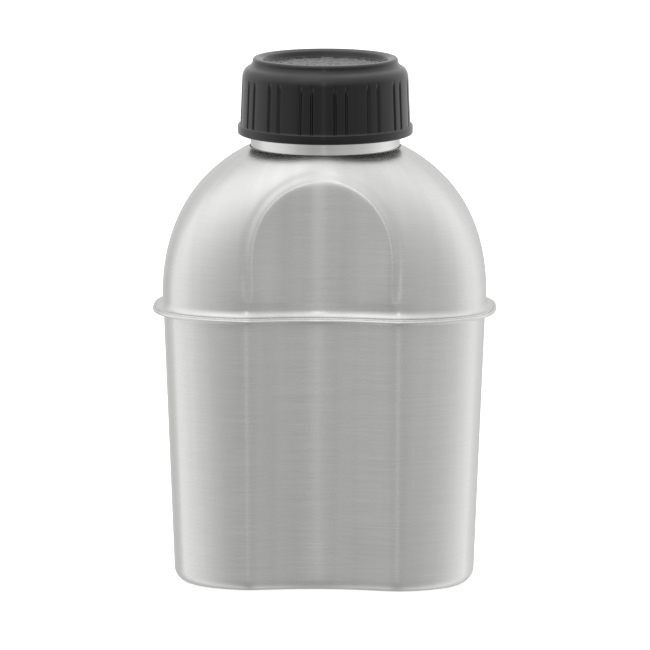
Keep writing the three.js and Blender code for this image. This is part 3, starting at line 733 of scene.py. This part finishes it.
cap = grid("screw_cap_moulding", cap_mesh(), cap_start=True, cap_end=True, material=CAP_BLACK)
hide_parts("screw_cap")
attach(cap, "cap")


def gasket_rows():
    z0, z1, r0, r1 = NECK_TOP_Z + 0.1, CAP_CEILING_Z - 0.1, 25.6, 30.5
    outline = rounded([(r0, z0, 0.5), (r1, z0, 0.5), (r1, z1, 0.5), (r0, z1, 0.5)], steps=5, closed=True)
    path = densify(outline + outline[:1], 0.35)[:-1]
    rows = []
    for r, z in path:
        if z < z0 + 0.01:  # two fine sealing ribs on its lower face
            z = z0 + 0.18 - 0.18 * (0.5 + 0.5 * math.cos((r - (r0 + r1) / 2) * 2 * math.pi / 1.6))
        rows.append(np.column_stack([r * np.cos(EVEN), NECK_Y + r * np.sin(EVEN), np.full(len(EVEN), z)]))
    return rows


gasket = grid("gasket_ring", gasket_rows(), hoop=True, material=GASKET_WHITE)
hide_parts("cap_gasket")
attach(gasket, "gasket")

# ------------------------------------------------------------------ folding handles and their bracket
WALL_O = cup_outline(HANDLE_MID_Z)


def wall_y(x):
    return WALL_O["back"] * (1 - (np.abs(x) / WALL_O["a"]) ** BACK_POWER) ** (1 / BACK_POWER)


def wall_path(out, x):
    """The wall's back at x and its outward direction, moved out by `out`."""
    e = 1e-2
    dx, dy = 2 * e, wall_y(x + e) - wall_y(x - e)
    n = np.hypot(dx, dy)
    nx, ny = -dy / n, dx / n
    return np.stack([x + nx * out, wall_y(x) + ny * out], -1), np.stack([nx, ny], -1)


def lean(points):
    q = np.array(points, float)
    q[..., 1] += BACK_SLOPE * (q[..., 2] - HANDLE_MID_Z)
    return q


_x = np.linspace(5, 56, 2000)
_p, _n = wall_path(HANDLE_OFF, _x)
_keep = (_p[:, 0] >= HANDLE_PIVOT_X + 0.0434) & (_p[:, 0] <= HANDLE_REACH_X - 0.07)
ARM_P, ARM_N = _p[_keep], _n[_keep]
ARM_S = np.concatenate([[0], np.cumsum(np.linalg.norm(np.diff(ARM_P, axis=0), axis=1))])
ARM_LEN = ARM_S[-1]
PIVOT = ARM_P[0]


def wire_path():
    z0, z1 = HANDLE_Z
    r, L = HANDLE_BEND_R, ARM_LEN
    flat = []

    def corner(cs, cz, p, q):
        for i in range(15):
            t = math.radians(p + (q - p) * i / 14)
            flat.append((cs + r * math.cos(t), cz + r * math.sin(t)))

    def line(p, q, n):
        for i in range(1, n):
            flat.append((p[0] + (q[0] - p[0]) * i / n, p[1] + (q[1] - p[1]) * i / n))

    corner(r, z0 + r, 180, 270)
    line((r, z0), (L - r, z0), 14)
    corner(L - r, z0 + r, 270, 360)
    line((L, z0 + r), (L, z1 - r), 16)
    corner(L - r, z1 - r, 0, 90)
    line((L - r, z1), (r, z1), 14)
    corner(r, z1 - r, 90, 180)
    line((0, z1 - r), (0, z0 + r), 16)
    flat = np.array(flat)
    x = np.interp(flat[:, 0], ARM_S, ARM_P[:, 0])
    y = np.interp(flat[:, 0], ARM_S, ARM_P[:, 1])
    nx = np.interp(flat[:, 0], ARM_S, ARM_N[:, 0])
    ny = np.interp(flat[:, 0], ARM_S, ARM_N[:, 1])
    return np.column_stack([x, y, flat[:, 1]]), np.column_stack([nx, ny, np.zeros(len(x))])


def wire_mesh(side, name):
    path, outward = wire_path()
    path = path * np.array([side, 1, 1])
    outward = outward * np.array([side, 1, 1])
    path = lean(path)
    t = np.roll(path, -1, 0) - np.roll(path, 1, 0)
    t /= np.linalg.norm(t, axis=1, keepdims=True)
    u = outward - t * np.sum(outward * t, axis=1, keepdims=True)
    u /= np.linalg.norm(u, axis=1, keepdims=True)
    v = np.cross(t, u)
    n = len(path)
    # the butt weld that closes the loop, ground nearly flush, in the middle of the outer leg
    where = int(np.argmin(np.abs(path[:, 2] - HANDLE_MID_Z) + 100 * (np.abs(path[:, 0]) < 30)))
    d = np.minimum(np.abs(np.arange(n) - where), n - np.abs(np.arange(n) - where))
    taper = 1 + 0.05 * np.exp(-((d / 1.1) ** 2))
    return swept(name, path, list(zip(u, v)), WIRE_R, 22, STEEL_WIRE, closed=True, taper=np.minimum(taper, 1.05))


for side, name, node in ((-1, "handle_wire_left", "handle_left"), (1, "handle_wire_right", "handle_right")):
    w = wire_mesh(side, name)
    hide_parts(node)
    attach(w, node)


def closed_grid_plate(name, nx, nz, place, material, heat=None):
    """A plate from two faces of an nx by nz grid and their rim. place(i, j, face) gives a point."""
    verts, faces = [], []
    for face in (0, 1):
        for j in range(nz):
            for i in range(nx):
                verts.append(place(i, j, face))
    def at(i, j, face):
        return face * nx * nz + j * nx + i
    for j in range(nz - 1):
        for i in range(nx - 1):
            faces.append([at(i, j, 1), at(i, j + 1, 1), at(i + 1, j + 1, 1), at(i + 1, j, 1)])
            faces.append([at(i, j, 0), at(i + 1, j, 0), at(i + 1, j + 1, 0), at(i, j + 1, 0)])
    rim = [(i, 0) for i in range(nx)] + [(nx - 1, j) for j in range(1, nz)] + [(i, nz - 1) for i in range(nx - 2, -1, -1)] + [(0, j) for j in range(nz - 2, 0, -1)]
    for (i0, j0), (i1, j1) in zip(rim, rim[1:] + rim[:1]):
        faces.append([at(i0, j0, 0), at(i0, j0, 1), at(i1, j1, 1), at(i1, j1, 0)])
    v = np.array(verts, float)
    uv_src = np.column_stack([v[:, 0], v[:, 2]]) * MM
    v[:, 1] += SHIFT_Y
    v *= MM
    me = bpy.data.meshes.new(name)
    me.from_pydata(v.tolist(), [], faces)
    layer = me.uv_layers.new(name="UVMap")
    for poly in me.polygons:
        for li in poly.loop_indices:
            layer.data[li].uv = uv_src[me.loops[li].vertex_index]
    me.polygons.foreach_set("use_smooth", [True] * len(me.polygons))
    if heat is not None:
        at_ = me.attributes.new("heat", "FLOAT", "POINT")
        at_.data.foreach_set("value", np.array([heat(*p) for p in verts], np.float32))
    me.update()
    ob = bpy.data.objects.new(name, me)
    bpy.context.scene.collection.objects.link(ob)
    tri = np.array([[f[0], f[1], f[2]] for f in faces] + [[f[0], f[2], f[3]] for f in faces])
    if np.einsum("ij,ij->i", v[tri[:, 0]], np.cross(v[tri[:, 1]], v[tri[:, 2]])).sum() < 0:
        me.flip_normals()
    me.materials.append(material)
    return ob


SPOTS = [(-4.4, 43.0), (4.4, 43.0), (-4.4, 59.0), (4.4, 59.0), (-4.4, 75.0), (4.4, 75.0)]


def plate():
    half, (z0, z1), corner = BRACKET_HALF_W - 0.1, BRACKET_Z, 2.4
    nx, nz = 57, 117

    def place(i, j, face):
        # a rounded rectangle: each row is as wide as the outline is there
        z = z0 + (z1 - z0) * j / (nz - 1)
        e = max(0.0, corner - min(z - z0, z1 - z))
        w = half - (corner - math.sqrt(max(corner**2 - e**2, 0)))
        x = -w + 2 * w * i / (nx - 1)
        near = min(w - abs(x), z - z0, z1 - z)
        edge = max(0.0, 0.28 - near)
        round_off = 0.28 - math.sqrt(max(0.28**2 - edge**2, 0))
        out = 0.15 + (BRACKET_T - round_off if face else round_off * 0.6)
        if face:
            for sx, sz in SPOTS:
                d = math.hypot(x - sx, z - sz)
                if d < 2.9:
                    t = d / 2.9
                    out -= 0.22 * (1 - smooth(min(1, max(0, (t - 0.45) / 0.4)))) - 0.05 * math.exp(-(((t - 0.92) / 0.08) ** 2))
        y = float(wall_y(np.array(x))) + out
        return lean([x, y, z])

    def heat(x, y, z):
        best = 0.0
        for sx, sz in SPOTS:
            d = math.hypot(x - sx, z - sz)
            best = max(best, 1.0 if d < 1.9 else max(0.0, 1 - (d - 1.9) / 2.6))
        return best

    return closed_grid_plate("bracket_plate", nx, nz, place, STEEL_BRACKET, heat)


bracket = plate()
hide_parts("handle_bracket")
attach(bracket, "cup")


def knuckle(side, z0, z1, name):
    """The plate's edge rolled round the wire: a curl of sheet, open where it meets the plate again."""
    t = KNUCKLE_OUT - KNUCKLE_IN
    mid = (KNUCKLE_OUT + KNUCKLE_IN) / 2
    p, n = PIVOT, None
    # centre line of the sheet, in the plane: along the plate, then round the pivot and back towards the plate
    line = []
    start_x = 8.4
    for x in np.linspace(start_x, PIVOT[0] - 1.6, 5):
        line.append((x, float(wall_y(np.array(x))) + 0.15 + BRACKET_T / 2))
    for a in np.linspace(-118, 196, 44):
        line.append((p[0] + mid * math.cos(math.radians(a)), p[1] + mid * math.sin(math.radians(a))))
    line = np.array(line)
    d = np.gradient(line, axis=0)
    d /= np.linalg.norm(d, axis=1, keepdims=True)
    nrm = np.column_stack([-d[:, 1], d[:, 0]])
    half = t / 2
    # section across the sheet, with rounded free end
    ts = np.full(len(line), half)
    ts[-1], ts[-2], ts[-3] = half * 0.45, half * 0.8, half * 0.95
    ts[0] = half * 0.9
    loop = np.vstack([line + nrm * ts[:, None], (line - nrm * ts[:, None])[::-1]])
    loop[:, 0] *= side
    rows = []
    b = 0.22
    c = loop.mean(0)
    centre = np.vstack([line, line[::-1]]) * np.array([side, 1])
    for z, k in ((z0, 0.72), (z0 + b * 0.3, 0.9), (z0 + b, 1.0), ((z0 + z1) / 2, 1.0), (z1 - b, 1.0), (z1 - b * 0.3, 0.9), (z1, 0.72)):
        q = centre + (loop - centre) * k
        rows.append(lean(np.column_stack([q, np.full(len(q), z)])))
    return knuckle_mesh(name, rows)


def knuckle_mesh(name, rows):
    """Rows of a strip's closed section, with quads across the strip at both ends."""
    rows = np.array(rows)
    m, n, _ = rows.shape
    v = rows.reshape(-1, 3).copy()
    uv_src = np.column_stack([np.tile(np.linspace(0, 0.02, n), m), v[:, 2] * MM])
    v[:, 1] += SHIFT_Y
    v *= MM
    faces = []
    for j in range(m - 1):
        for i in range(n):
            faces.append([j * n + i, j * n + (i + 1) % n, (j + 1) * n + (i + 1) % n, (j + 1) * n + i])
    for j, flip in ((0, True), (m - 1, False)):
        for i in range(n // 2 - 1):
            q = [j * n + i, j * n + i + 1, j * n + n - 2 - i, j * n + n - 1 - i]
            faces.append(q[::-1] if flip else q)
    me = bpy.data.meshes.new(name)
    me.from_pydata(v.tolist(), [], faces)
    layer = me.uv_layers.new(name="UVMap")
    for poly in me.polygons:
        for li in poly.loop_indices:
            layer.data[li].uv = uv_src[me.loops[li].vertex_index]
    me.polygons.foreach_set("use_smooth", [True] * len(me.polygons))
    me.update()
    tri = np.array([[f[0], f[1], f[2]] for f in faces] + [[f[0], f[2], f[3]] for f in faces])
    if np.einsum("ij,ij->i", v[tri[:, 0]], np.cross(v[tri[:, 1]], v[tri[:, 2]])).sum() < 0:
        me.flip_normals()
    ob = bpy.data.objects.new(name, me)
    bpy.context.scene.collection.objects.link(ob)
    me.materials.append(STEEL_BRACKET)
    return ob


for side, word in ((-1, "left"), (1, "right")):
    for k, (z0, z1) in enumerate(KNUCKLE_Z):
        ob = knuckle(side, z0, z1, f"bracket_knuckle_{word}_{'lower' if k == 0 else 'upper'}")
        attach(ob, "cup")

# ------------------------------------------------------------------ camera
CAM = dict(D=2.2346, el=9.967, az=1.95, tx=0.0, tz=0.10215, f=5557.0, roll=0.07)


def place_camera():
    el, az, roll = (math.radians(CAM[k]) for k in ("el", "az", "roll"))
    d = Vector((math.sin(az) * math.cos(el), -math.cos(az) * math.cos(el), math.sin(el)))
    eye = Vector((CAM["tx"], 0, CAM["tz"])) + d * CAM["D"]
    forward = -d
    right = forward.cross(Vector((0, 0, 1))).normalized()
    up = right.cross(forward)
    right, up = right * math.cos(roll) + up * math.sin(roll), up * math.cos(roll) - right * math.sin(roll)
    cam = bpy.data.objects.new("camera", bpy.data.cameras.new("camera"))
    cam.data.sensor_width = 36.0
    cam.data.lens = CAM["f"] * 36.0 / 650.0
    cam.data.clip_start, cam.data.clip_end = 0.05, 60.0
    cam.matrix_world = Matrix(((right.x, up.x, d.x, eye.x), (right.y, up.y, d.y, eye.y), (right.z, up.z, d.z, eye.z), (0, 0, 0, 1)))
    bpy.context.scene.collection.objects.link(cam)
    bpy.context.scene.camera = cam


place_camera()

# ------------------------------------------------------------------ studio
scene = bpy.context.scene
scene.view_settings.view_transform = "Standard"
scene.view_settings.look = "None"
scene.view_settings.exposure = 0.0
scene.view_settings.gamma = 1.0


# Light level by direction, in degrees of azimuth (0 is the side that the hollow faces): the walls, and the ceiling lights' edge.
WALL_LIGHT = [(-180, 0.60), (-165, 0.68), (-150, 0.74), (-135, 0.76), (-121, 0.88), (-108, 1.22), (-92, 1.19), (-75, 1.06), (-60, 0.90), (-45, 0.74), (-30, 0.59), (-15, 0.52),
              (0, 0.515), (15, 0.545), (30, 0.625), (45, 0.68), (60, 0.78), (75, 0.93), (90, 1.10), (105, 1.21), (118, 1.27), (134, 1.07), (150, 0.88), (165, 0.72), (180, 0.60)]
CEILING_LIGHT = [(-180, 1.06), (-150, 1.04), (-135, 1.18), (-118, 1.38), (-90, 1.45), (-60, 1.54), (-42, 1.62), (-27, 1.58), (-13, 1.48), (0, 1.40), (12, 1.29), (30, 1.20),
                 (52, 1.15), (75, 1.20), (100, 1.27), (135, 1.25), (160, 1.12), (180, 1.06)]
STRIP = dict(az=-0.4, half=0.9, soft=1.6, low=-15, high=28, level=1.55)


def azimuth_ramp(nt, share, levels):
    return ramp(nt, share, [(a / 360 + 0.5, grey(v)) for a, v in levels])


def span(nt, x, x0, x1, y0=0.0, y1=1.0, kind="SMOOTHSTEP"):
    m = nt.nodes.new("ShaderNodeMapRange")
    m.interpolation_type = kind
    for key, value in (("From Min", x0), ("From Max", x1), ("To Min", y0), ("To Max", y1)):
        m.inputs[key].default_value = value
    nt.links.new(x, m.inputs["Value"])
    return m.outputs[0]


def studio_world():
    """A white studio: two tall soft sides, a ceiling of light, a narrow gap above the camera, and plain white behind the object."""
    world = bpy.data.worlds.new("studio")
    scene.world = world
    world.use_nodes = True
    nt = world.node_tree
    nt.nodes.clear()
    tc = nt.nodes.new("ShaderNodeTexCoord")
    sep = nt.nodes.new("ShaderNodeSeparateXYZ")
    nt.links.new(tc.outputs["Generated"], sep.inputs[0])
    x, y, z = sep.outputs
    a = math_node(nt, "ARCTAN2", x, math_node(nt, "MULTIPLY", y, -1.0))
    share = math_node(nt, "ADD", math_node(nt, "MULTIPLY", a, 0.5 / math.pi), 0.5)
    el = math_node(nt, "ARCSINE", z)
    mix = nt.nodes.new("ShaderNodeMix")
    mix.data_type = "RGBA"
    nt.links.new(span(nt, el, math.radians(-12), math.radians(52), kind="LINEAR"), mix.inputs[0])
    nt.links.new(azimuth_ramp(nt, share, WALL_LIGHT), mix.inputs[6])
    nt.links.new(azimuth_ramp(nt, share, CEILING_LIGHT), mix.inputs[7])
    off = math_node(nt, "ABSOLUTE", math_node(nt, "SUBTRACT", a, math.radians(STRIP["az"])))
    strip = span(nt, off, math.radians(STRIP["half"] + STRIP["soft"]), math.radians(STRIP["half"]))
    rise = span(nt, el, math.radians(STRIP["low"]), math.radians(STRIP["high"]), kind="LINEAR")
    fade = span(nt, el, math.radians(48), math.radians(24))
    strip = math_node(nt, "MULTIPLY", math_node(nt, "MULTIPLY", strip, rise), math_node(nt, "MULTIPLY", fade, STRIP["level"]))
    plus = nt.nodes.new("ShaderNodeVectorMath")
    plus.operation = "ADD"
    nt.links.new(mix.outputs[2], plus.inputs[0])
    nt.links.new(strip, plus.inputs[1])
    bg = nt.nodes.new("ShaderNodeBackground")
    nt.links.new(plus.outputs[0], bg.inputs["Color"])
    white = nt.nodes.new("ShaderNodeBackground")
    white.inputs["Color"].default_value = (1, 1, 1, 1)
    lp = nt.nodes.new("ShaderNodeLightPath")
    sh = nt.nodes.new("ShaderNodeMixShader")
    nt.links.new(lp.outputs["Is Camera Ray"], sh.inputs[0])
    nt.links.new(bg.outputs[0], sh.inputs[1])
    nt.links.new(white.outputs[0], sh.inputs[2])
    out = nt.nodes.new("ShaderNodeOutputWorld")
    nt.links.new(sh.outputs[0], out.inputs["Surface"])


studio_world()

floor_mesh = bpy.data.meshes.new("floor")
R = 6.0
n = 96
ringv = [(R * math.cos(2 * math.pi * k / n), R * math.sin(2 * math.pi * k / n), -0.00004) for k in range(n)]
floor_mesh.from_pydata(ringv, [], [list(range(n))])
floor = bpy.data.objects.new("floor", floor_mesh)
scene.collection.objects.link(floor)
fmat, fnt, fb = node_material("floor_white")
fb.inputs["Base Color"].default_value = (0.8, 0.8, 0.8, 1)
fb.inputs["Roughness"].default_value = 0.9
fb.inputs["Specular IOR Level"].default_value = 0.0
fb.inputs["Emission Color"].default_value = (1, 1, 1, 1)
fb.inputs["Emission Strength"].default_value = 0.62
floor_mesh.materials.append(fmat)
floor.visible_glossy = False

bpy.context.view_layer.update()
